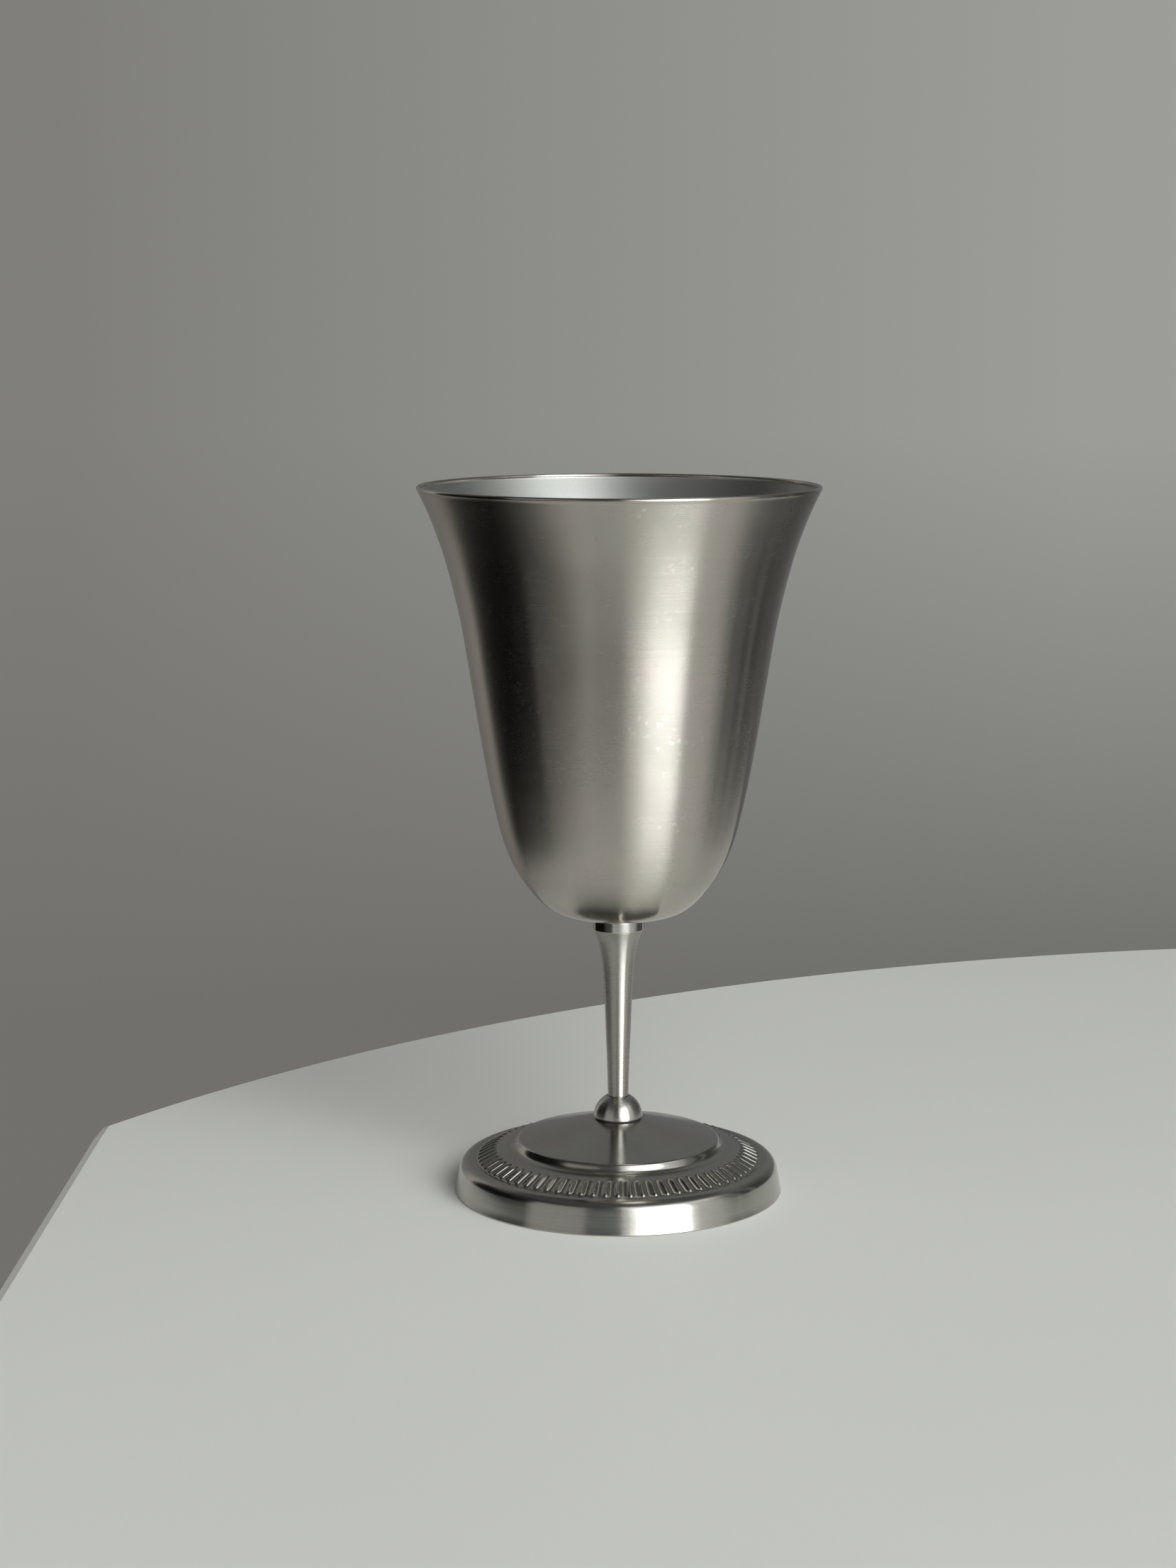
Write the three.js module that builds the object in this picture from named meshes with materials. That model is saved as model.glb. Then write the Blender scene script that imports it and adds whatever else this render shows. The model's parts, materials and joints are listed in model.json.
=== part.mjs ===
// Footed metal goblet used as a communion chalice.
// Millimetres, +Z up. The origin is the centre of the foot, on the plane it stands on.
import * as THREE from 'three';

// ---- overall sizes ----
const HEIGHT = 165;
const RIM_RADIUS = 46.1;
const FOOT_RADIUS = 38.3;

// ---- bowl: spun sheet with a thickened, rounded rim ----
const BOWL_SHEET = 0.7;
const BEAD_RADIUS = 0.5;
const BOWL_SEAT_Z = 64.7;
const BOWL_SEAT_RADIUS = 5.5;
const BOWL_SEGMENTS = 56;
const BOWL_ROWS = 20;

// ---- weld stud under the bowl ----
const STUD_FLANGE_RADIUS = 3.4;
const STUD_FLANGE_THICKNESS = 0.9;
const STUD_RADIUS = 2.4;
const STUD_LENGTH = 9.6;

// ---- collar between bowl and stem ----
const COLLAR_RADIUS = 6.0;
const COLLAR_HEIGHT = 2.5;
const COLLAR_RECESS_RADIUS = 3.7;
const COLLAR_RECESS_DEPTH = 1.0;
const COLLAR_BORE_RADIUS = 2.7;

// ---- stem: turned taper with a tapped top and a threaded spigot below ----
const STEM_TOP_RADIUS = 5.7;
const STEM_FOOT_RADIUS = 2.4;
const STEM_SHOULDER_Z = 20.0;
const STEM_TAP_RADIUS = 2.55;
const STEM_TAP_DEPTH = 9.6;
const SPIGOT_RADIUS = 1.95;
const SPIGOT_END_Z = 9.4;
const SPIGOT_CHAMFER = 0.4;

// ---- half-ball knop at the foot of the stem ----
const KNOP_RADIUS = 5.74;
const KNOP_BASE_Z = 17.3;
const KNOP_SOCKET_RADIUS = 2.6;

// ---- gasket, backing disc, lock washer and nut that clamp the stem to the foot ----
const CLEARANCE_RADIUS = 2.25;
const GASKET_RADIUS = 5.4;
const GASKET_THICKNESS = 0.3;
const DISC_RADIUS = 10.5;
const DISC_FLAT_RADIUS = 5.4;
const DISC_THICKNESS = 1.2;
const DISC_SLOPE = 0.29;
const LOCK_WASHER_RADIUS = 3.5;
const LOCK_WASHER_THICKNESS = 0.9;
const LOCK_WASHER_GAP = 1.0;
const NUT_ACROSS_FLATS = 7.0;
const NUT_HEIGHT = 3.2;
const NUT_CHAMFER = 0.3;
const NUT_BORE_RADIUS = 2.05;

// ---- foot: pressed sheet, a shallow dome inside a ring of radial ribs ----
const FOOT_SHEET = 0.8;
const FOOT_PAD_RADIUS = 5.9;
const FOOT_PAD_Z = KNOP_BASE_Z - GASKET_THICKNESS;
const RIB_COUNT = 72;
const RIB_HEIGHT = 0.45;
const RIB_INNER_RADIUS = 28.4;
const RIB_OUTER_RADIUS = 33.2;
const RIB_END_RUN = 0.7;
const COLUMNS_PER_RIB = 2;

const TURNED_SEGMENTS = 36;

const point = (radius, z) => new THREE.Vector2(radius, z);

// Turns a closed outline of (radius, z) points about the Z axis.
function turn(outline, segments = TURNED_SEGMENTS) {
  const closed = [...outline, outline[0].clone()];
  const geometry = new THREE.LatheGeometry(closed, segments);
  return geometry.rotateX(Math.PI / 2);
}

// Rectangle section between two radii and two heights, for washers and rings.
function ringSection(inner, outer, low, high) {
  return [point(inner, low), point(outer, low), point(outer, high), point(inner, high)];
}

// Moves each point of an open outline to its left by the sheet thickness.
function offsetOutline(outline, distance) {
  return outline.map((here, i) => {
    const before = outline[Math.max(i - 1, 0)];
    const after = outline[Math.min(i + 1, outline.length - 1)];
    const arriving = here.clone().sub(before).normalize();
    const leaving = after.clone().sub(here).normalize();
    const tangent = arriving.clone().add(leaving).normalize();
    const stretch = 1 / tangent.dot(i > 0 ? arriving : leaving);
    const left = point(-tangent.y, tangent.x);
    return here.clone().addScaledVector(left, distance * stretch);
  });
}

// Points on a circular arc, from one angle to another in degrees.
function arc(centreRadius, centreZ, radius, startDegrees, endDegrees, steps) {
  return Array.from({ length: steps + 1 }, (_, i) => {
    const angle = THREE.MathUtils.degToRad(startDegrees + ((endDegrees - startDegrees) * i) / steps);
    return point(centreRadius + radius * Math.cos(angle), centreZ + radius * Math.sin(angle));
  });
}

// Bell-shaped wall: round bottom, nearly straight side, flared lip.
function bowl() {
  const beadCentre = point(RIM_RADIUS - BEAD_RADIUS, HEIGHT - BEAD_RADIUS);
  const bead = arc(beadCentre.x, beadCentre.y, BEAD_RADIUS, -60, 210, 9);
  const wall = new THREE.SplineCurve([
    point(BOWL_SEAT_RADIUS, BOWL_SEAT_Z),
    point(15.3, 67.0),
    point(21.8, 73.5),
    point(26.2, 82.0),
    point(29.3, 94.0),
    point(31.7, 107.0),
    point(34.0, 121.0),
    point(36.4, 135.0),
    point(39.6, 148.0),
    point(42.7, 157.0),
    bead[0],
  ]);
  const outer = [point(0, BOWL_SEAT_Z), ...wall.getPoints(BOWL_ROWS)];
  const inner = offsetOutline(outer, BOWL_SHEET).slice(1, -1).reverse();
  const outline = [...outer, ...bead.slice(1), ...inner, point(0, BOWL_SEAT_Z + BOWL_SHEET)];
  return new THREE.LatheGeometry(outline, BOWL_SEGMENTS).rotateX(Math.PI / 2);
}

// Flanged stud, welded by its flange under the bowl.
function bowlStud() {
  const flangeZ = BOWL_SEAT_Z - STUD_FLANGE_THICKNESS;
  const endZ = flangeZ - STUD_LENGTH;
  const outline = [
    point(0, endZ),
    point(STUD_RADIUS - SPIGOT_CHAMFER, endZ),
    point(STUD_RADIUS, endZ + SPIGOT_CHAMFER),
    point(STUD_RADIUS, flangeZ),
    point(STUD_FLANGE_RADIUS, flangeZ),
    point(STUD_FLANGE_RADIUS, BOWL_SEAT_Z),
    point(0, BOWL_SEAT_Z),
  ];
  return new THREE.LatheGeometry(outline, TURNED_SEGMENTS).rotateX(Math.PI / 2);
}

// Flat polished ring, recessed on top for the stud's flange.
function collar() {
  const low = BOWL_SEAT_Z - COLLAR_HEIGHT;
  const recessZ = BOWL_SEAT_Z - COLLAR_RECESS_DEPTH;
  return turn([
    point(COLLAR_BORE_RADIUS, low),
    point(COLLAR_RADIUS, low),
    point(COLLAR_RADIUS, BOWL_SEAT_Z),
    point(COLLAR_RECESS_RADIUS, BOWL_SEAT_Z),
    point(COLLAR_RECESS_RADIUS, recessZ),
    point(COLLAR_BORE_RADIUS, recessZ),
  ]);
}

// Slim taper that flares into a trumpet under the collar.
function stem() {
  const topZ = BOWL_SEAT_Z - COLLAR_HEIGHT;
  const taper = new THREE.SplineCurve([
    point(STEM_FOOT_RADIUS, 22.5),
    point(2.6, 30),
    point(2.93, 38.5),
    point(3.16, 45),
    point(3.4, 50),
    point(3.78, 54.5),
    point(4.4, 58.2),
    point(4.95, 60.3),
    point(STEM_TOP_RADIUS, topZ),
  ]);
  const outline = [
    point(0, SPIGOT_END_Z),
    point(SPIGOT_RADIUS - SPIGOT_CHAMFER, SPIGOT_END_Z),
    point(SPIGOT_RADIUS, SPIGOT_END_Z + SPIGOT_CHAMFER),
    point(SPIGOT_RADIUS, STEM_SHOULDER_Z),
    point(STEM_FOOT_RADIUS, STEM_SHOULDER_Z),
    ...taper.getSpacedPoints(14),
    point(STEM_TAP_RADIUS, topZ),
    point(STEM_TAP_RADIUS, topZ - STEM_TAP_DEPTH),
    point(0, topZ - STEM_TAP_DEPTH),
  ];
  return new THREE.LatheGeometry(outline, TURNED_SEGMENTS).rotateX(Math.PI / 2);
}

// Half ball with its flat side down, bored through and socketed for the stem.
function knop() {
  const socketAngle = THREE.MathUtils.radToDeg(Math.acos(KNOP_SOCKET_RADIUS / KNOP_RADIUS));
  return turn([
    point(CLEARANCE_RADIUS, KNOP_BASE_Z),
    ...arc(0, KNOP_BASE_Z, KNOP_RADIUS, 0, socketAngle, 9),
    point(KNOP_SOCKET_RADIUS, STEM_SHOULDER_Z),
    point(CLEARANCE_RADIUS, STEM_SHOULDER_Z),
  ]);
}

function seatGasket() {
  return turn(ringSection(CLEARANCE_RADIUS, GASKET_RADIUS, FOOT_PAD_Z, KNOP_BASE_Z));
}

// Height that the pressed ribs add at a radius: full along the rib, none past its ends.
function ribRise(radius) {
  const fromInner = (radius - RIB_INNER_RADIUS) / RIB_END_RUN;
  const fromOuter = (RIB_OUTER_RADIUS - radius) / RIB_END_RUN;
  return RIB_HEIGHT * THREE.MathUtils.clamp(Math.min(fromInner, fromOuter), 0, 1);
}

// Dome, rolled step, ribbed slope, plain border and leaning skirt, in one pressed sheet.
function foot() {
  const outer = [
    point(FOOT_RADIUS, 0),
    ...arc(34.6, 4.88, 2.7, 11, 80, 4),
    point(34.2, 7.6),
    point(RIB_OUTER_RADIUS, 7.5),
    point(RIB_OUTER_RADIUS - RIB_END_RUN, 7.84),
    point(RIB_INNER_RADIUS + RIB_END_RUN, 9.51),
    point(RIB_INNER_RADIUS, 9.85),
    point(26.4, 10.15),
    point(25.0, 10.35),
    point(24.25, 10.75),
    point(23.5, 12.1),
    point(22.7, 12.5),
    point(FOOT_PAD_RADIUS, FOOT_PAD_Z),
    point(CLEARANCE_RADIUS, FOOT_PAD_Z),
  ];
  const inner = offsetOutline(outer, FOOT_SHEET);
  inner[0] = point(FOOT_RADIUS - FOOT_SHEET, 0);
  const geometry = turn([...outer, ...inner.reverse()], RIB_COUNT * COLUMNS_PER_RIB);
  const positions = geometry.attributes.position;
  const corner = new THREE.Vector3();
  for (let i = 0; i < positions.count; i += 1) {
    corner.fromBufferAttribute(positions, i);
    const radius = Math.hypot(corner.x, corner.y);
    const turns = Math.atan2(corner.y, corner.x) / (2 * Math.PI);
    const crest = 0.5 + 0.5 * Math.cos(turns * RIB_COUNT * 2 * Math.PI);
    positions.setZ(i, corner.z + crest * ribRise(radius));
  }
  geometry.computeVertexNormals();
  return geometry;
}

// Dished disc that stiffens the thin dome from below.
function backingDisc() {
  const top = FOOT_PAD_Z - FOOT_SHEET;
  const drop = (DISC_RADIUS - DISC_FLAT_RADIUS) * DISC_SLOPE;
  return turn([
    point(CLEARANCE_RADIUS, top - DISC_THICKNESS),
    point(DISC_FLAT_RADIUS, top - DISC_THICKNESS),
    point(DISC_RADIUS, top - DISC_THICKNESS - drop),
    point(DISC_RADIUS, top - drop),
    point(DISC_FLAT_RADIUS, top),
    point(CLEARANCE_RADIUS, top),
  ]);
}

// Split ring, open by a narrow gap.
function lockWasher() {
  const halfGap = Math.asin(LOCK_WASHER_GAP / (2 * LOCK_WASHER_RADIUS));
  const ring = new THREE.Shape();
  ring.absarc(0, 0, LOCK_WASHER_RADIUS, halfGap, 2 * Math.PI - halfGap, false);
  ring.absarc(0, 0, CLEARANCE_RADIUS, 2 * Math.PI - halfGap, halfGap, true);
  const options = { depth: LOCK_WASHER_THICKNESS, bevelEnabled: false, curveSegments: 28 };
  return new THREE.ExtrudeGeometry(ring, options);
}

// Hexagon nut with chamfered ends.
function hexNut() {
  const cornerRadius = NUT_ACROSS_FLATS / Math.sqrt(3) - NUT_CHAMFER;
  const corners = Array.from({ length: 6 }, (_, i) => {
    const angle = (i * Math.PI) / 3;
    return point(cornerRadius * Math.cos(angle), cornerRadius * Math.sin(angle));
  });
  const hexagon = new THREE.Shape(corners);
  const bore = new THREE.Path();
  bore.absarc(0, 0, NUT_BORE_RADIUS + NUT_CHAMFER, 0, 2 * Math.PI, true);
  hexagon.holes.push(bore);
  const options = {
    depth: NUT_HEIGHT - 2 * NUT_CHAMFER,
    bevelThickness: NUT_CHAMFER,
    bevelSize: NUT_CHAMFER,
    bevelSegments: 1,
    curveSegments: 24,
  };
  return new THREE.ExtrudeGeometry(hexagon, options).translate(0, 0, NUT_CHAMFER);
}

function steel(color, roughness) {
  return new THREE.MeshStandardMaterial({ color, roughness, metalness: 1 });
}

const SATIN = () => steel(0x9a968e, 0.34);
const POLISHED = () => steel(0xb4b3b0, 0.16);
const PLAIN = () => steel(0x8f9192, 0.4);
const DARK_FIBRE = () => new THREE.MeshStandardMaterial({ color: 0x1d1d1e, roughness: 0.8, metalness: 0 });

const chalice = new THREE.Group();

function add(name, geometry, material, z = 0) {
  const mesh = new THREE.Mesh(geometry, material);
  mesh.name = name;
  mesh.position.z = z;
  chalice.add(mesh);
}

const washerZ = FOOT_PAD_Z - FOOT_SHEET - DISC_THICKNESS - LOCK_WASHER_THICKNESS;

add('bowl', bowl(), SATIN());
add('bowl_stud', bowlStud(), PLAIN());
add('collar', collar(), POLISHED());
add('stem', stem(), SATIN());
add('knop', knop(), POLISHED());
add('seat_gasket', seatGasket(), DARK_FIBRE());
add('foot', foot(), SATIN());
add('backing_disc', backingDisc(), PLAIN());
add('lock_washer', lockWasher(), PLAIN(), washerZ);
add('foot_nut', hexNut(), PLAIN(), washerZ - NUT_HEIGHT);

export default chalice;
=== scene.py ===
"""Footed steel goblet used as a communion chalice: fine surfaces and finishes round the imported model."""

import json
import math

import bpy
import numpy as np
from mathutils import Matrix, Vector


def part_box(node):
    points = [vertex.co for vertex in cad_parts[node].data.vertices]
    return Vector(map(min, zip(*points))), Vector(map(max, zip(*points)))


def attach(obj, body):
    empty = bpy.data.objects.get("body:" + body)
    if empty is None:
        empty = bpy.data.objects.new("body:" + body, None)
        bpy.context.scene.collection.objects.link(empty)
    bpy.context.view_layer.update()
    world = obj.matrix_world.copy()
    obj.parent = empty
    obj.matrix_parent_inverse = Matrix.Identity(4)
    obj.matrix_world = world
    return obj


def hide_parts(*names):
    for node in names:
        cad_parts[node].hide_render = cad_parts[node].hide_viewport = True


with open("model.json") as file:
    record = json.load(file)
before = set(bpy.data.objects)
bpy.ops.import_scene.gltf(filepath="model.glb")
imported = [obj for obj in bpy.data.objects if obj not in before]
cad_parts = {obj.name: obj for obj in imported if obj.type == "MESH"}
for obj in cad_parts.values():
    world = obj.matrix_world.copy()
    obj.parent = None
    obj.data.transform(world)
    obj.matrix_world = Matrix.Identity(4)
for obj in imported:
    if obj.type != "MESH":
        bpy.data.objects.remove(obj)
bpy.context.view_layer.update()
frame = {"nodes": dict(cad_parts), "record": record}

MM = 0.001


# ---- sizes in millimetres: outer ones from the imported model's boxes, the rest given ----
def node_size(name):
    """Outer radius, lowest z and highest z of a round CAD node."""
    low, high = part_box(name)
    return high[0] / MM, low[2] / MM, high[2] / MM


RIM_RADIUS, BOWL_BOTTOM_Z, RIM_Z = node_size("bowl")
COLLAR_RADIUS, COLLAR_BOTTOM_Z, COLLAR_TOP_Z = node_size("collar")
STEM_TOP_RADIUS, SPIGOT_END_Z, STEM_TOP_Z = node_size("stem")
KNOP_RADIUS, KNOP_BASE_Z, _ = node_size("knop")
GASKET_RADIUS, GASKET_LOW_Z, GASKET_HIGH_Z = node_size("seat_gasket")
FOOT_RADIUS, FOOT_LOW_Z, FOOT_PAD_Z = node_size("foot")

BOWL_SHEET = 0.7
BOWL_SEAT_RADIUS = 5.5
BEAD_RADIUS = 0.5
FOOT_SHEET = 0.8
FOOT_PAD_RADIUS = 5.9
BORE_RADIUS = 2.25
RIB_COUNT = 72
RIB_HEIGHT = 0.55
RIB_INNER_RADIUS = 28.0
RIB_OUTER_RADIUS = 33.2
RIB_HALF_PITCH = 0.215
RIB_INNER_RUN = 2.0
RIB_OUTER_RUN = 0.6
RIB_STEPS = (0.35, 0.7, 0.92)
RIB_FOOT_Z = 7.5
RIB_SLOPE = 0.49
STEM_LOW_RADIUS = 2.4
STEM_SHOULDER_Z = 20.0
SPIGOT_RADIUS = 1.95
SPIGOT_CHAMFER = 0.4
TAP_RADIUS = 2.55
TAP_DEPTH = 9.6
COLLAR_BORE_RADIUS = 2.7
COLLAR_RECESS_RADIUS = 3.7
COLLAR_RECESS_DEPTH = 1.0
KNOP_SOCKET_RADIUS = 2.6
THREAD_PITCH = 0.7
THREAD_DEPTH = 0.3


# ---- outlines: lists of (radius, z) in millimetres ----
def smooth_curve(points, per_span):
    """Catmull-Rom curve through points, with its end points doubled."""
    pts = [np.array(p, float) for p in points]
    last = len(pts) - 1
    curve = []
    for i in range(last):
        before, here = pts[max(i - 1, 0)], pts[i]
        there, after = pts[i + 1], pts[min(i + 2, last)]
        leave, arrive = (there - before) / 2, (after - here) / 2
        for k in range(per_span):
            t = k / per_span
            curve.append(
                (2 * here - 2 * there + leave + arrive) * t**3
                + (3 * there - 3 * here - 2 * leave - arrive) * t**2
                + leave * t
                + here
            )
    curve.append(pts[-1])
    return [tuple(p) for p in curve]


def arc(centre_r, centre_z, radius, start, end, steps):
    """Points on a circular arc, with its angles in degrees."""
    angles = np.radians(np.linspace(start, end, steps + 1))
    return [(centre_r + radius * math.cos(a), centre_z + radius * math.sin(a)) for a in angles]


def offset_outline(outline, distance):
    """Moves each point of an open outline to its left."""
    pts = np.array(outline, float)
    step = np.diff(pts, axis=0)
    step /= np.linalg.norm(step, axis=1)[:, None]
    arriving = np.vstack([step[:1], step])
    leaving = np.vstack([step, step[-1:]])
    tangent = arriving + leaving
    tangent /= np.linalg.norm(tangent, axis=1)[:, None]
    stretch = distance / (tangent * arriving).sum(1)
    left = np.stack([-tangent[:, 1], tangent[:, 0]], 1)
    return [tuple(p) for p in pts + left * stretch[:, None]]


def rounded(corners, radius, steps=4, support=0.05):
    """Closed outline with every corner rounded, and support points that keep its flats flat."""
    pts = [np.array(c, float) for c in corners]
    out = []
    for i, here in enumerate(pts):
        before, after = pts[i - 1], pts[(i + 1) % len(pts)]
        to_before, to_after = before - here, after - here
        long_before, long_after = np.linalg.norm(to_before), np.linalg.norm(to_after)
        to_before, to_after = to_before / long_before, to_after / long_after
        half = math.acos(np.clip(to_before @ to_after, -1, 1)) / 2
        reach = min(radius / math.tan(half), 0.4 * long_before, 0.4 * long_after)
        start, end = here + to_before * reach, here + to_after * reach
        out.append(start + to_before * min(support, 0.05 * long_before))
        for k in range(steps + 1):
            t = k / steps
            out.append((1 - t) ** 2 * start + 2 * t * (1 - t) * here + t**2 * end)
        out.append(end + to_after * min(support, 0.05 * long_after))
    return [tuple(p) for p in out]


# ---- meshes ----
def make_object(name, vertices, faces):
    """Smooth-shaded mesh object from vertices in millimetres."""
    mesh = bpy.data.meshes.new(name)
    mesh.from_pydata([tuple(v) for v in np.asarray(vertices) * MM], [], faces)
    mesh.validate()
    mesh.polygons.foreach_set("use_smooth", [True] * len(mesh.polygons))
    mesh.update()
    obj = bpy.data.objects.new(name, mesh)
    bpy.context.scene.collection.objects.link(obj)
    return obj


def evenly(columns):
    """Angles of evenly spaced columns, all the way round."""
    return np.arange(columns) * 2 * math.pi / columns


def revolve(name, outline, angles, shape=None):
    """Turns an outline about Z. It is closed on itself, or at both ends by the axis."""
    pts = np.array(outline, float)
    on_axis = pts[:, 0] < 1e-6
    columns = len(angles)
    vertices, rows = [], []
    for (r, z), single in zip(pts, on_axis):
        start = len(vertices)
        if single:
            vertices.append((0.0, 0.0, z))
            rows.append([start] * columns)
            continue
        radii, heights = np.full(columns, r), np.full(columns, z)
        if shape is not None:
            radii, heights = shape(r, z, angles)
        vertices += list(zip(radii * np.cos(angles), radii * np.sin(angles), heights))
        rows.append(list(range(start, start + columns)))
    closed = not on_axis.any()
    faces = []
    for a, b in zip(rows, rows[1:] + rows[:1] if closed else rows[1:]):
        for k in range(columns):
            n = (k + 1) % columns
            corners = [a[k], a[n], b[n], b[k]]
            face = [c for j, c in enumerate(corners) if c != corners[j - 1]]
            if len(face) > 2:
                faces.append(face)
    return make_object(name, vertices, faces)


# ---- bowl ----
def bowl_outline():
    """Closed outline of the bowl, and how many of its spans are on the outside."""
    bead_r, bead_z = RIM_RADIUS - BEAD_RADIUS, RIM_Z - BEAD_RADIUS
    bead = arc(bead_r, bead_z, BEAD_RADIUS, -60, 210, 18)
    wall = smooth_curve(
        [
            (BOWL_SEAT_RADIUS, BOWL_BOTTOM_Z),
            (15.3, 67.0),
            (21.8, 73.5),
            (26.2, 82.0),
            (29.3, 94.0),
            (31.7, 107.0),
            (34.0, 121.0),
            (36.4, 135.0),
            (39.6, 148.0),
            (42.7, 157.0),
            bead[0],
        ],
        8,
    )
    outer = [(0.0, BOWL_BOTTOM_Z), (3.0, BOWL_BOTTOM_Z)] + wall
    inner = offset_outline(outer, BOWL_SHEET)[1:-1][::-1]
    outside = outer + bead[1:]
    return outside + inner + [(0.0, BOWL_BOTTOM_Z + BOWL_SHEET)], len(outside) - 1


# ---- foot ----
def foot_angles():
    """Columns of the foot: close together over each rib, wide apart between ribs."""
    half = [-1.0] + [-a for a in RIB_STEPS[::-1]] + [0.0] + list(RIB_STEPS) + [1.0, 2.0]
    turns = [k + RIB_HALF_PITCH * a for k in range(RIB_COUNT) for a in half]
    return np.array(turns) * 2 * math.pi / RIB_COUNT


def rib_rise(r, angles):
    """Height of the pressed ribs: round bars with a blunt outer end, fading out at the inner end."""
    turn = angles * RIB_COUNT / (2 * math.pi)
    across = (turn - np.round(turn)) / RIB_HALF_PITCH
    past_end = (r - RIB_OUTER_RADIUS + RIB_OUTER_RUN) / RIB_OUTER_RUN
    away = np.minimum(np.hypot(across, max(past_end, 0.0)), 1.0)
    t = min(max((r - RIB_INNER_RADIUS) / RIB_INNER_RUN, 0.0), 1.0)
    return RIB_HEIGHT * (3 * t**2 - 2 * t**3) * (1 - away**2) ** 0.9


def foot_outline():
    """Closed outline of the foot: one sheet from its skirt up to its pad, with a hem below."""
    skirt = [(FOOT_RADIUS - 0.06, 0.3), (FOOT_RADIUS - 0.39, 2.0), (FOOT_RADIUS - 0.78, 4.0)]
    shoulder = arc(34.6, 4.88, 2.7, 11, 80, 12)
    border = smooth_curve([shoulder[-1], (34.2, 7.6), (RIB_OUTER_RADIUS, RIB_FOOT_Z)], 3)
    rib_rows = [RIB_OUTER_RADIUS - RIB_OUTER_RUN * (1 - a) for a in RIB_STEPS[::-1] + (0.0,)]
    rib_rows += list(np.linspace(32.2, 28.4, 12))
    ribs = [(r, RIB_FOOT_Z + (RIB_OUTER_RADIUS - r) * RIB_SLOPE) for r in rib_rows]
    step = smooth_curve(
        [
            ribs[-1],
            (26.4, 10.15),
            (25.2, 10.3),
            (24.4, 10.6),
            (24.0, 11.1),
            (23.7, 11.75),
            (23.35, 12.25),
            (22.6, 12.5),
            (20.5, 13.07),
            (13.0, 15.1),
            (6.4, 16.87),
        ],
        4,
    )
    pad = [(FOOT_PAD_RADIUS, FOOT_PAD_Z), (5.0, FOOT_PAD_Z), (BORE_RADIUS, FOOT_PAD_Z)]
    outer = skirt + shoulder + border[1:] + ribs + step[1:] + pad
    inner = offset_outline(outer, FOOT_SHEET)
    inner = inner[:-4:2] + inner[-4:]  # the underside needs only half as many rows
    hem_radius = inner[0][0]
    hem = [
        (hem_radius, 0.25),
        (hem_radius + 0.25, FOOT_LOW_Z),
        (FOOT_RADIUS - 0.28, FOOT_LOW_Z),
        (FOOT_RADIUS, 0.12),
    ]
    return outer + inner[::-1] + hem


def foot_shape(r, z, angles):
    """One ring of the foot, lifted where ribs cross it."""
    return np.full(len(angles), r), z + rib_rise(r, angles)


# ---- stem ----
def thread(radius, low, high):
    """Radius at a height and angle on a screw thread that fades in and out at its ends."""

    def radii(z, angles):
        phase = (z - low) / THREAD_PITCH - angles / (2 * math.pi)
        tooth = np.abs(phase - np.round(phase)) * 2
        fade = np.clip(min(z - low, high - z) / THREAD_PITCH, 0, 1)
        return radius - THREAD_DEPTH * fade * tooth

    return radii


def stem_outline():
    """Outline of the stem, from its lower end up its outside to the tapped hole in its top."""
    taper = smooth_curve(
        [
            (STEM_LOW_RADIUS, 22.5),
            (2.6, 30.0),
            (2.93, 38.5),
            (3.16, 45.0),
            (3.4, 50.0),
            (3.78, 54.5),
            (4.4, 58.2),
            (4.95, 60.3),
            (STEM_TOP_RADIUS, STEM_TOP_Z),
        ],
        7,
    )
    rows = np.arange(SPIGOT_END_Z + SPIGOT_CHAMFER, STEM_SHOULDER_Z - 0.3, 0.1)
    spigot = [(SPIGOT_RADIUS, z) for z in rows]
    bottom = [(r, SPIGOT_END_Z) for r in (0.0, SPIGOT_RADIUS - 0.45, SPIGOT_RADIUS - 0.4)]
    shoulder = [(SPIGOT_RADIUS, STEM_SHOULDER_Z), (STEM_LOW_RADIUS, STEM_SHOULDER_Z)]
    tap_end_z = STEM_TOP_Z - TAP_DEPTH
    tap = [(TAP_RADIUS, STEM_TOP_Z), (TAP_RADIUS, tap_end_z), (0.0, tap_end_z)]
    return bottom + spigot + shoulder + taper + tap


def stem_shape(r, z, angles):
    """One ring of the stem, cut by the thread if it belongs to the spigot."""
    if abs(r - SPIGOT_RADIUS) > 1e-6:
        return np.full(len(angles), r), np.full(len(angles), z)
    radii = thread(SPIGOT_RADIUS, SPIGOT_END_Z + SPIGOT_CHAMFER, STEM_SHOULDER_Z - 0.4)
    return radii(z, angles), np.full(len(angles), z)


# ---- collar, knop and gasket ----
def collar_outline():
    """A ring with a recess in its top for the stud's flange."""
    recess_z = COLLAR_TOP_Z - COLLAR_RECESS_DEPTH
    corners = [
        (COLLAR_BORE_RADIUS, COLLAR_BOTTOM_Z),
        (COLLAR_RADIUS, COLLAR_BOTTOM_Z),
        (COLLAR_RADIUS, COLLAR_TOP_Z),
        (COLLAR_RECESS_RADIUS, COLLAR_TOP_Z),
        (COLLAR_RECESS_RADIUS, recess_z),
        (COLLAR_BORE_RADIUS, recess_z),
    ]
    return rounded(corners, 0.15)


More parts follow.
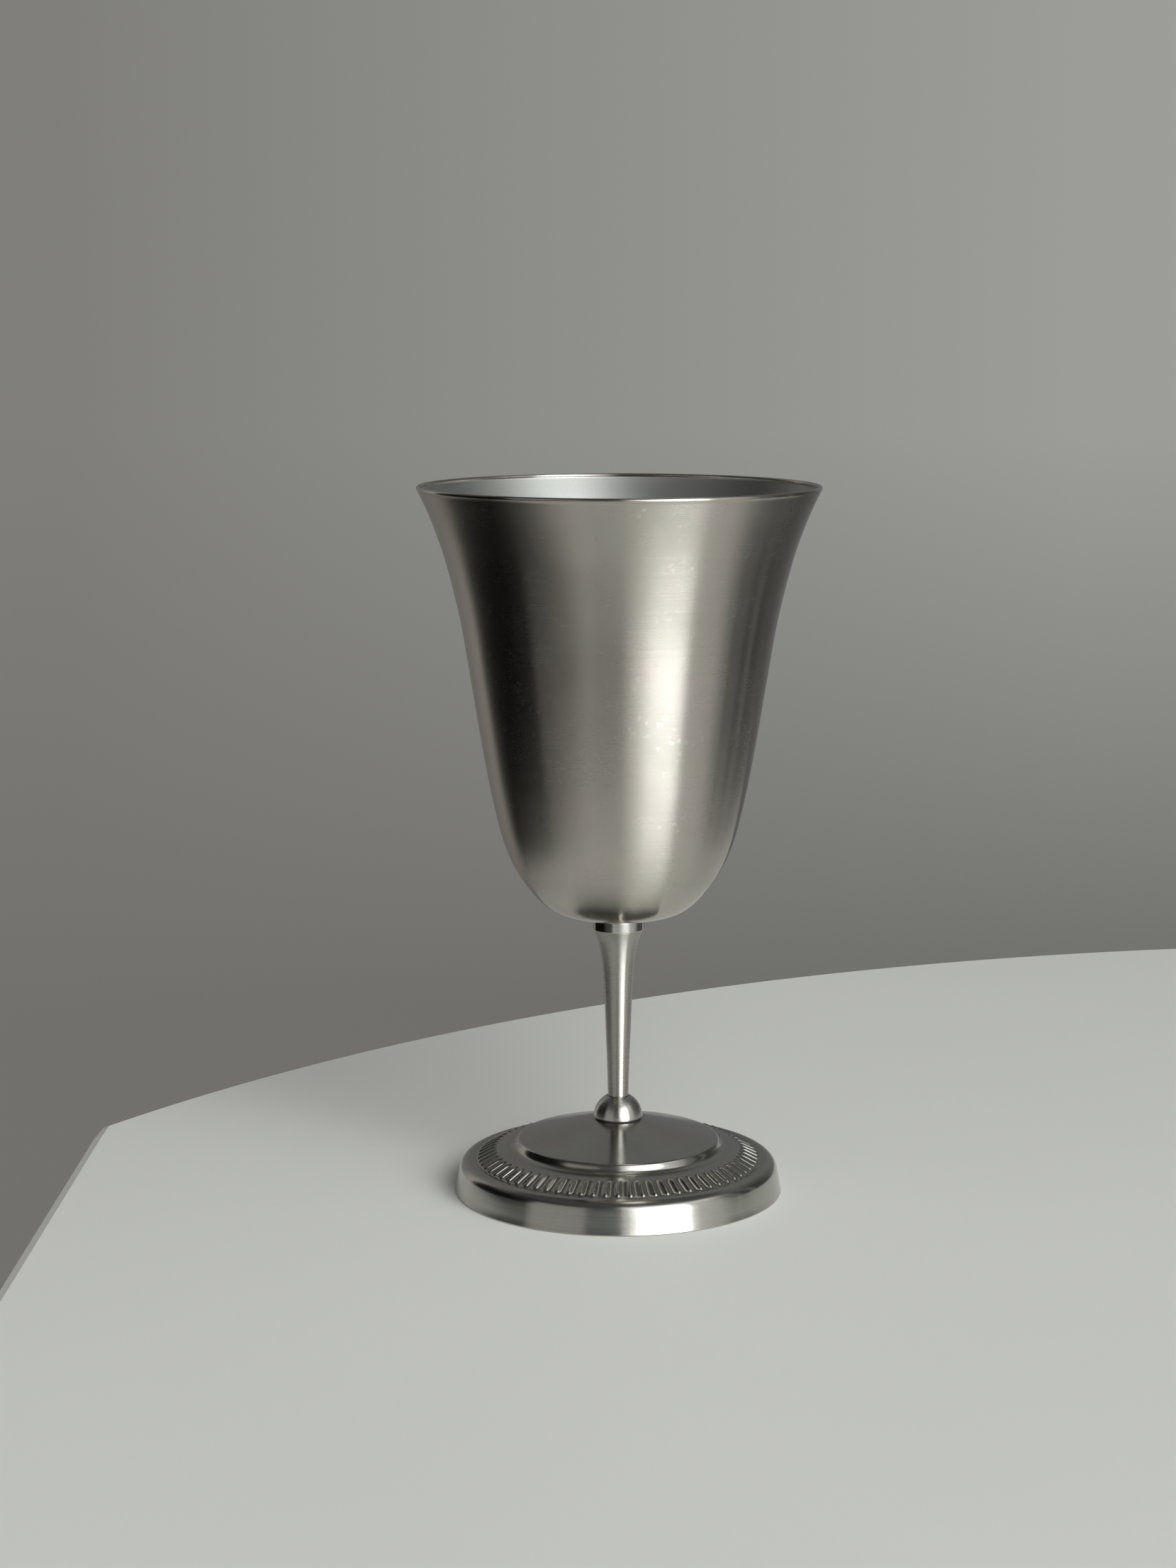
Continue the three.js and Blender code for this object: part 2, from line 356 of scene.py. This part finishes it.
def knop_outline():
    """A bored half ball on its flat side, with a socket for the stem's lower end."""
    socket_angle = math.degrees(math.acos(KNOP_SOCKET_RADIUS / KNOP_RADIUS))
    base = [
        (BORE_RADIUS, KNOP_BASE_Z),
        (KNOP_RADIUS - 0.2, KNOP_BASE_Z),
        (KNOP_RADIUS - 0.06, KNOP_BASE_Z + 0.05),
    ]
    ball = arc(0, KNOP_BASE_Z, KNOP_RADIUS, 2, socket_angle, 30)
    return base + ball + [(KNOP_SOCKET_RADIUS, STEM_SHOULDER_Z), (BORE_RADIUS, STEM_SHOULDER_Z)]


def gasket_outline():
    corners = [
        (BORE_RADIUS, GASKET_LOW_Z),
        (GASKET_RADIUS, GASKET_LOW_Z),
        (GASKET_RADIUS, GASKET_HIGH_Z),
        (BORE_RADIUS, GASKET_HIGH_Z),
    ]
    return rounded(corners, 0.08)


# ---- pieces ----
def finish_piece(obj, node):
    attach(obj, "root")
    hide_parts(node)


BOWL_COLUMNS = 192
STEM_COLUMNS = 72
FITTING_COLUMNS = 128
GASKET_COLUMNS = 96

bowl_rows, outside_rows = bowl_outline()
bowl = revolve("bowl_shell", bowl_rows, evenly(BOWL_COLUMNS))
foot = revolve("foot_shell", foot_outline(), foot_angles(), foot_shape)
stem = revolve("stem_turned", stem_outline(), evenly(STEM_COLUMNS), stem_shape)
collar = revolve("stem_collar", collar_outline(), evenly(FITTING_COLUMNS))
knop = revolve("knop_half_ball", knop_outline(), evenly(FITTING_COLUMNS))
gasket = revolve("seat_gasket_ring", gasket_outline(), evenly(GASKET_COLUMNS))
finish_piece(bowl, "bowl")
finish_piece(foot, "foot")
finish_piece(stem, "stem")
finish_piece(collar, "collar")
finish_piece(knop, "knop")
finish_piece(gasket, "seat_gasket")


# ---- finishes ----
class Tree:
    """Short way to make and link shader nodes."""

    def __init__(self, tree, output):
        self.tree = tree
        self.tree.nodes.clear()
        self.output = self.add(output)

    def add(self, kind, **settings):
        node = self.tree.nodes.new(kind)
        for key, value in settings.items():
            setattr(node, key, value)
        return node

    def put(self, socket, value):
        if isinstance(value, bpy.types.NodeSocket):
            self.tree.links.new(value, socket)
        else:
            socket.default_value = value

    def math(self, operation, a, b=0.0):
        node = self.add("ShaderNodeMath", operation=operation)
        self.put(node.inputs[0], a)
        self.put(node.inputs[1], b)
        return node.outputs[0]

    def noise(self, vector, scale, detail=2.0, roughness=0.5):
        node = self.add("ShaderNodeTexNoise")
        self.put(node.inputs["Vector"], vector)
        self.put(node.inputs["Scale"], scale)
        self.put(node.inputs["Detail"], detail)
        self.put(node.inputs["Roughness"], roughness)
        return node.outputs["Fac"]

    def spread(self, value, low, high, to_low, to_high):
        node = self.add("ShaderNodeMapRange", clamp=True)
        for socket, v in zip(node.inputs, (value, low, high, to_low, to_high)):
            self.put(socket, v)
        return node.outputs[0]

    def smooth(self, value, low, high):
        node = self.add("ShaderNodeMapRange", interpolation_type="SMOOTHSTEP")
        for socket, v in zip(node.inputs, (value, low, high, 0.0, 1.0)):
            self.put(socket, v)
        return node.outputs[0]

    def vector(self, x, y, z):
        node = self.add("ShaderNodeCombineXYZ")
        for socket, v in zip(node.inputs, (x, y, z)):
            self.put(socket, v)
        return node.outputs[0]

    def split(self, vector):
        node = self.add("ShaderNodeSeparateXYZ")
        self.put(node.inputs[0], vector)
        return node.outputs

    def bump(self, height, strength, distance):
        node = self.add("ShaderNodeBump")
        self.put(node.inputs["Strength"], strength)
        self.put(node.inputs["Distance"], distance)
        self.put(node.inputs["Height"], height)
        return node.outputs[0]

    def mix(self, factor, a, b):
        node = self.add("ShaderNodeMix", data_type="RGBA")
        self.put(node.inputs[0], factor)
        self.put(node.inputs[6], a)
        self.put(node.inputs[7], b)
        return node.outputs[2]


def new_material(name):
    material = bpy.data.materials.new(name)
    material.use_nodes = True
    return material, Tree(material.node_tree, "ShaderNodeOutputMaterial")


def turned_lines(n, where, rise):
    """Function that gives noise drawn out round the axis, like the marks of a lathe or a brush."""
    x, y, z = n.split(where)
    radius = n.math("SQRT", n.math("ADD", n.math("MULTIPLY", x, x), n.math("MULTIPLY", y, y)))
    safe = n.math("MAXIMUM", radius, 1e-5)
    around_x, around_y = n.math("DIVIDE", x, safe), n.math("DIVIDE", y, safe)
    along = n.math("ADD", radius, n.math("MULTIPLY", z, rise))

    def lines(strokes, per_metre, detail):
        place = n.vector(
            n.math("MULTIPLY", around_x, strokes),
            n.math("MULTIPLY", around_y, strokes),
            n.math("MULTIPLY", along, per_metre),
        )
        return n.noise(place, 1.0, detail)

    return lines


def steel_tint(n, where, colour, brush, grain, brushing):
    """Base colour: faint warm and green mottling, lighter and darker with brush marks, clouds and grain."""
    warm = tuple(c * w for c, w in zip(colour, (1.015, 0.995, 0.955))) + (1.0,)
    green = tuple(c * w for c, w in zip(colour, (0.99, 1.005, 0.94))) + (1.0,)
    mottle = n.spread(n.noise(where, 85.0, 3.0, 0.6), 0.38, 0.62, 0.0, 1.0)
    cloud = n.noise(where, 22.0, 2.0, 0.5)
    tone = n.spread(brush, 0.3, 0.7, 1 - brushing, 1 + brushing)
    tone = n.math("ADD", tone, n.spread(cloud, 0.3, 0.7, -0.03, 0.03))
    tone = n.math("ADD", tone, n.spread(grain, 0.3, 0.7, -0.04, 0.04))
    tint = n.add("ShaderNodeVectorMath", operation="SCALE")
    n.put(tint.inputs[0], n.mix(mottle, warm, green))
    n.put(tint.inputs[3], tone)
    return tint.outputs[0]


def steel_roughness(n, where, roughness, smudges, brush, scratch, brushing):
    """Roughness: smudges, with the brush marks and scratches a little rougher."""
    smudge = n.noise(where, 55.0, 4.0, 0.55)
    rough = n.spread(smudge, 0.35, 0.7, roughness - smudges, roughness + smudges)
    rough = n.math("ADD", rough, n.spread(brush, 0.3, 0.7, -0.3 * brushing, 0.3 * brushing))
    return n.math("ADD", rough, n.math("MULTIPLY", scratch, 0.4 * brushing))


def dried_drops(n, where, strength):
    """Mask of small ragged spots, gathered in patches."""
    cells = n.add("ShaderNodeTexVoronoi")
    n.put(cells.inputs["Vector"], where)
    n.put(cells.inputs["Scale"], 420.0)
    ragged = n.math("MULTIPLY", n.math("SUBTRACT", n.noise(where, 900.0, 3.0, 0.6), 0.5), 0.9)
    drop = n.spread(n.math("ADD", cells.outputs["Distance"], ragged), 0.1, 0.3, 1.0, 0.0)
    patch = n.spread(n.noise(where, 60.0, 3.0, 0.6), 0.53, 0.65, 0.0, strength)
    return n.math("MULTIPLY", drop, patch)


def steel(
    name,
    colour,
    roughness,
    anisotropy,
    brushing,
    rise=1.0,
    smudges=0.05,
    spots=0.0,
    low=None,
    relief=0.2,
):
    """Steel brushed or turned round the axis, with faint lines, smudges and dried drops.

    rise: 1 where the outline climbs as it widens, -1 where it falls.
    low: how much smoother the steel is low down, and the heights between which that fades, in metres.
    """
    material, n = new_material(name)
    where = n.add("ShaderNodeTexCoord").outputs["Object"]
    lines = turned_lines(n, where, rise)
    fine, coarse = lines(1.6, 5200.0, 3.0), lines(0.7, 900.0, 2.0)
    brush = n.math("ADD", n.math("MULTIPLY", fine, 0.65), n.math("MULTIPLY", coarse, 0.35))
    grain = n.noise(where, 2600.0, 2.0, 0.6)
    scratch = n.spread(lines(2.6, 2400.0, 0.0), 0.73, 0.79, 0.0, 1.0)
    base = steel_tint(n, where, colour, brush, grain, brushing)
    rough = steel_roughness(n, where, roughness, smudges, brush, scratch, brushing)
    if low:
        less, low_z, high_z = low
        smoother = n.math("MULTIPLY", less, n.smooth(n.split(where)[2], high_z, low_z))
        rough = n.math("SUBTRACT", rough, smoother)
    if spots:
        mask = dried_drops(n, where, spots)
        base = n.mix(mask, base, (0.78, 0.77, 0.74, 1.0))
        rough = n.math("ADD", rough, n.math("MULTIPLY", mask, 0.25))
    height = n.math("ADD", n.math("MULTIPLY", brush, 0.6), n.math("MULTIPLY", grain, 0.4))
    tangent = n.add("ShaderNodeTangent", direction_type="RADIAL", axis="Z")
    shader = n.add("ShaderNodeBsdfPrincipled")
    n.put(shader.inputs["Base Color"], base)
    n.put(shader.inputs["Metallic"], 1.0)
    n.put(shader.inputs["Roughness"], rough)
    n.put(shader.inputs["Anisotropic"], anisotropy)
    n.put(shader.inputs["Anisotropic Rotation"], 0.25)
    n.put(shader.inputs["Tangent"], tangent.outputs[0])
    n.put(shader.inputs["Normal"], n.bump(height, relief, 0.00002))
    n.put(n.output.inputs["Surface"], shader.outputs[0])
    return material


def fibre(name, colour):
    """Dark, matt gasket board."""
    material, n = new_material(name)
    where = n.add("ShaderNodeTexCoord").outputs["Object"]
    grain = n.noise(where, 2500.0, 3.0)
    light = tuple(colour[:3]) + (1.0,)
    dark = tuple(c * 0.7 for c in colour[:3]) + (1.0,)
    shader = n.add("ShaderNodeBsdfPrincipled")
    n.put(shader.inputs["Base Color"], n.mix(grain, dark, light))
    n.put(shader.inputs["Roughness"], n.spread(grain, 0.3, 0.7, 0.7, 0.9))
    n.put(shader.inputs["Normal"], n.bump(grain, 0.3, 0.00005))
    n.put(n.output.inputs["Surface"], shader.outputs[0])
    return material


colours = {m["slot"]: m["base_color"] for m in frame["record"]["materials"]}


def shade(slot, red, green, blue):
    """The record's colour of a material, scaled by channel to suit the finish; for the bowl's inside, also
    darkened as painted shade.
    """
    return [c * w for c, w in zip(colours[slot], (red, green, blue))]


bowl_finish = steel(
    "bowl_brushed_steel",
    shade("bowl_steel", 0.885, 0.862, 0.86),
    roughness=0.265,
    anisotropy=1.0,
    brushing=0.025,
    smudges=0.02,
    spots=0.22,
    low=(0.15, 0.066, 0.076),
    relief=0.08,
)
# Inside of the bowl: a real satin finish (rougher), with its colour made darker and bluer than the outside's
# as painted shade.
bowl_inside_painted_shade = steel(
    "bowl_satin_inside_painted_shade",
    shade("bowl_steel", 0.75, 0.79, 0.83),
    roughness=0.52,
    anisotropy=0.3,
    brushing=0.03,
    smudges=0.03,
)
foot_finish = steel(
    "foot_satin_steel",
    shade("foot_steel", 0.93, 0.94, 0.93),
    roughness=0.2,
    anisotropy=0.6,
    brushing=0.05,
    rise=-1.0,
    smudges=0.03,
)
stem_finish = steel(
    "stem_turned_steel",
    shade("stem_steel", 0.8, 0.8, 0.8),
    roughness=0.28,
    anisotropy=1.0,
    brushing=0.04,
    smudges=0.02,
    relief=0.1,
)
collar_finish = steel(
    "collar_polished_steel",
    shade("polished_steel", 0.93, 0.93, 0.93),
    roughness=0.1,
    anisotropy=0.5,
    brushing=0.02,
    smudges=0.015,
)
knop_finish = steel(
    "knop_satin_steel",
    shade("polished_steel", 0.85, 0.85, 0.85),
    roughness=0.27,
    anisotropy=0.9,
    brushing=0.05,
    rise=-1.0,
    smudges=0.02,
)
hardware_finish = steel(
    "plain_machined_steel",
    colours["hardware_steel"],
    roughness=0.35,
    anisotropy=0.3,
    brushing=0.05,
    rise=-1.0,
)
gasket_finish = fibre("gasket_board", colours["gasket_fibre"])

for obj, finish in (
    (bowl, bowl_finish),
    (foot, foot_finish),
    (stem, stem_finish),
    (collar, collar_finish),
    (knop, knop_finish),
    (gasket, gasket_finish),
):
    obj.data.materials.append(finish)
bowl.data.materials.append(bowl_inside_painted_shade)
for face in bowl.data.polygons:
    if face.index >= outside_rows * BOWL_COLUMNS:
        face.material_index = 1
for name in ("bowl_stud", "backing_disc", "lock_washer", "foot_nut"):
    slots = frame["nodes"][name].data.materials
    slots.clear()
    slots.append(hardware_finish)


# ---- floor ----
FLOOR_CENTRE = (266.0, -190.0)
FLOOR_RADIUS = 466.0
FLOOR_LEFT = -132.0
FLOOR_RIGHT = 215.0
FLOOR_FRONT = -330.0
FLOOR_THICKNESS = 22.0
FLOOR_EDGE = 3.0


def floor_edge(inset):
    """Round table top cut straight at its left, right and front: points (x, y) at an inset from its edge."""
    points = []
    for angle in np.radians(np.arange(0, 360, 1.5)):
        x = FLOOR_CENTRE[0] + (FLOOR_RADIUS - inset) * math.cos(angle)
        y = FLOOR_CENTRE[1] + (FLOOR_RADIUS - inset) * math.sin(angle)
        points.append((min(max(x, FLOOR_LEFT + inset), FLOOR_RIGHT - inset), max(y, FLOOR_FRONT + inset)))
    return points


def make_floor():
    """Plain pale table top; its top face is at z = 0."""
    t, e = FLOOR_THICKNESS, FLOOR_EDGE
    rings = [(e, 0.0), (0.3 * e, -0.3 * e), (0.0, -e), (0.0, -t)]
    vertices = [(x, y, z) for inset, z in rings for x, y in floor_edge(inset)]
    count = len(vertices) // len(rings)
    faces = []
    for above in range(0, (len(rings) - 1) * count, count):
        below = above + count
        for k in range(count):
            after = (k + 1) % count
            faces.append([above + k, below + k, below + after, above + after])
    faces.append(list(range(count)))
    faces.append(list(range(len(vertices) - 1, len(vertices) - count - 1, -1)))
    floor = make_object("floor", vertices, faces)
    material, n = new_material("pale_floor")
    where = n.add("ShaderNodeTexCoord").outputs["Object"]
    shader = n.add("ShaderNodeBsdfPrincipled")
    tone = n.noise(where, 6.0, 3.0)
    n.put(shader.inputs["Base Color"], n.mix(tone, (0.78, 0.79, 0.745, 1.0), (0.83, 0.84, 0.80, 1.0)))
    n.put(shader.inputs["Roughness"], 0.55)
    n.put(n.output.inputs["Surface"], shader.outputs[0])
    floor.data.materials.append(material)
    floor.data.shade_flat()


make_floor()


# ---- the room: angles in degrees, and (compass direction, brightness, warmth) of each part of it ----
ROOM_BRIGHTNESS = 1.12
WINDOW_TOP = 50.0
WINDOW_BRIGHT_TOP = 34.0
CEILING_LEVEL = 0.07
WINDOW_BOTTOM = -8.0
WALL_LEVELS = (
    (-180, 0.13, 0.0),
    (-150, 0.20, 0.04),
    (-129, 0.42, 0.06),
    (-125, 0.03, 0.03),
    (-121, 0.006, 0.0),
    (-85, 0.003, 0.0),
    (-67, 0.01, -0.04),
    (-64, 0.32, 0.03),
    (-25, 0.32, 0.03),
    (-22, 0.12, -0.03),
    (2, 0.10, -0.03),
    (7, 0.95, 0.03),
    (16, 2.6, 0.0),
    (26, 5.9, -0.02),
    (43, 6.9, -0.02),
    (49, 5.0, -0.02),
    (54, 0.7, 0.02),
    (76, 0.5, 0.03),
    (86, 0.24, 0.03),
    (92, 0.05, -0.02),
    (95, 0.35, 0.0),
    (98, 0.05, -0.02),
    (108, 0.04, 0.0),
    (112, 0.30, 0.0),
    (115, 0.04, 0.0),
    (135, 0.08, 0.0),
    (150, 0.15, 0.0),
    (168, 0.17, 0.0),
    (180, 0.13, 0.0),
)
HIGH_LEVELS = (
    (-180, 0.2, 0.0),
    (-130, 0.16, 0.0),
    (-100, 0.03, 0.0),
    (-60, 0.03, 0.0),
    (0, 0.06, 0.0),
    (8, 1.2, 0.0),
    (49, 1.6, 0.0),
    (54, 0.9, 0.0),
    (78, 0.9, 0.0),
    (100, 0.12, 0.0),
    (180, 0.2, 0.0),
)
LOW_LEVELS = (
    (-180, 0.12, 0.0),
    (-155, 0.16, 0.05),
    (-129, 0.22, 0.06),
    (-124, 0.004, 0.0),
    (-67, 0.004, 0.0),
    (-57, 0.012, 0.0),
    (-50, 0.035, 0.07),
    (-30, 0.025, 0.07),
    (2, 0.01, 0.06),
    (54, 0.45, 0.02),
    (80, 0.35, 0.02),
    (86, 0.2, 0.0),
    (88, 0.04, 0.0),
    (90, 0.4, 0.0),
    (92, 0.04, 0.0),
    (101, 0.05, 0.0),
    (103, 0.26, 0.0),
    (105, 0.03, 0.0),
    (114, 0.04, 0.0),
    (117, 0.2, 0.0),
    (119, 0.03, 0.0),
    (135, 0.08, 0.0),
    (180, 0.14, 0.0),
)


def make_world():
    """The room as a light dome: brightness by compass direction, in a wall band under a ceiling.

    Directions are in degrees from the camera's side (-Y), positive towards +X.
    """
    world = bpy.data.worlds.new("room")
    world.use_nodes = True
    n = Tree(world.node_tree, "ShaderNodeOutputWorld")
    x, y, z = n.split(n.add("ShaderNodeTexCoord").outputs["Generated"])
    azimuth = n.math("ARCTAN2", x, n.math("MULTIPLY", y, -1.0))
    turn = n.spread(azimuth, -math.pi, math.pi, 0.0, 1.0)
    elevation = n.math("ARCSINE", z)

    def by_compass(stops):
        ramp = n.add("ShaderNodeValToRGB")
        n.put(ramp.inputs[0], turn)
        elements = ramp.color_ramp.elements
        elements[0].position, elements[1].position = 0.0, 1.0
        for direction, level, warmth in stops:
            ends = {-180: elements[0], 180: elements[-1]}
            stop = ends.get(direction) or elements.new((direction + 180) / 360)
            stop.color = (level * (1 + warmth), level, level * (1 - warmth), 1.0)
        return ramp.outputs[0]

    def above(degrees, softness):
        low, high = math.radians(degrees - softness), math.radians(degrees + softness)
        return n.smooth(elevation, low, high)

    ceiling = (CEILING_LEVEL, CEILING_LEVEL, CEILING_LEVEL, 1.0)
    upper = n.mix(above(WINDOW_TOP, 3.0), by_compass(HIGH_LEVELS), ceiling)
    walls = n.mix(above(WINDOW_BRIGHT_TOP, 9.0), by_compass(WALL_LEVELS), upper)
    lit = n.mix(above(WINDOW_BOTTOM, 4.0), by_compass(LOW_LEVELS), walls)
    glow = n.add("ShaderNodeBackground")
    n.put(glow.inputs[0], lit)
    n.put(glow.inputs[1], ROOM_BRIGHTNESS)
    # Backdrop that only the camera sees and that lights nothing: a wall with painted shade and light, darker
    # lower down and, higher up, lighter towards +X.
    seen = n.add("ShaderNodeBackground")
    side = n.spread(x, -0.18, 0.15, 0.0, 1.0)
    upper_wall = n.mix(side, (0.214, 0.212, 0.197, 1.0), (0.333, 0.336, 0.312, 1.0))
    lower_wall = n.mix(side, (0.168, 0.164, 0.152, 1.0), (0.152, 0.153, 0.142, 1.0))
    n.put(seen.inputs[0], n.mix(n.spread(z, -0.23, -0.045, 0.0, 1.0), lower_wall, upper_wall))
    choose = n.add("ShaderNodeMixShader")
    n.put(choose.inputs[0], n.add("ShaderNodeLightPath").outputs["Is Camera Ray"])
    n.put(choose.inputs[1], glow.outputs[0])
    n.put(choose.inputs[2], seen.outputs[0])
    n.put(n.output.inputs[0], choose.outputs[0])
    bpy.context.scene.world = world


make_world()


def make_fill():
    """Soft window light for the floor alone; the steel mirrors the light dome instead."""
    light = bpy.data.lights.new("floor_fill", "AREA")
    light.shape = "RECTANGLE"
    light.size, light.size_y = 1.4, 1.2
    light.energy = 16.0
    obj = bpy.data.objects.new("floor_fill", light)
    obj.location = (0.75, -1.3, 1.1)
    obj.rotation_euler = (math.radians(54), 0.0, math.radians(30))
    obj.visible_camera = False
    obj.visible_glossy = False
    bpy.context.scene.collection.objects.link(obj)


make_fill()

# ---- camera ----
CAMERA_PLACE = (0.0, -0.6903, 0.2081)
CAMERA_LOOKS_DOWN = 9.204
CAMERA_TURNS_LEFT = 0.587


def make_camera():
    data = bpy.data.cameras.new("camera")
    data.lens = 69.6
    data.sensor_width = 36.0
    camera = bpy.data.objects.new("camera", data)
    camera.location = CAMERA_PLACE
    camera.rotation_euler = (math.radians(90 - CAMERA_LOOKS_DOWN), 0.0, math.radians(CAMERA_TURNS_LEFT))
    bpy.context.scene.collection.objects.link(camera)
    bpy.context.scene.camera = camera


make_camera()
bpy.context.scene.view_settings.view_transform = "Standard"
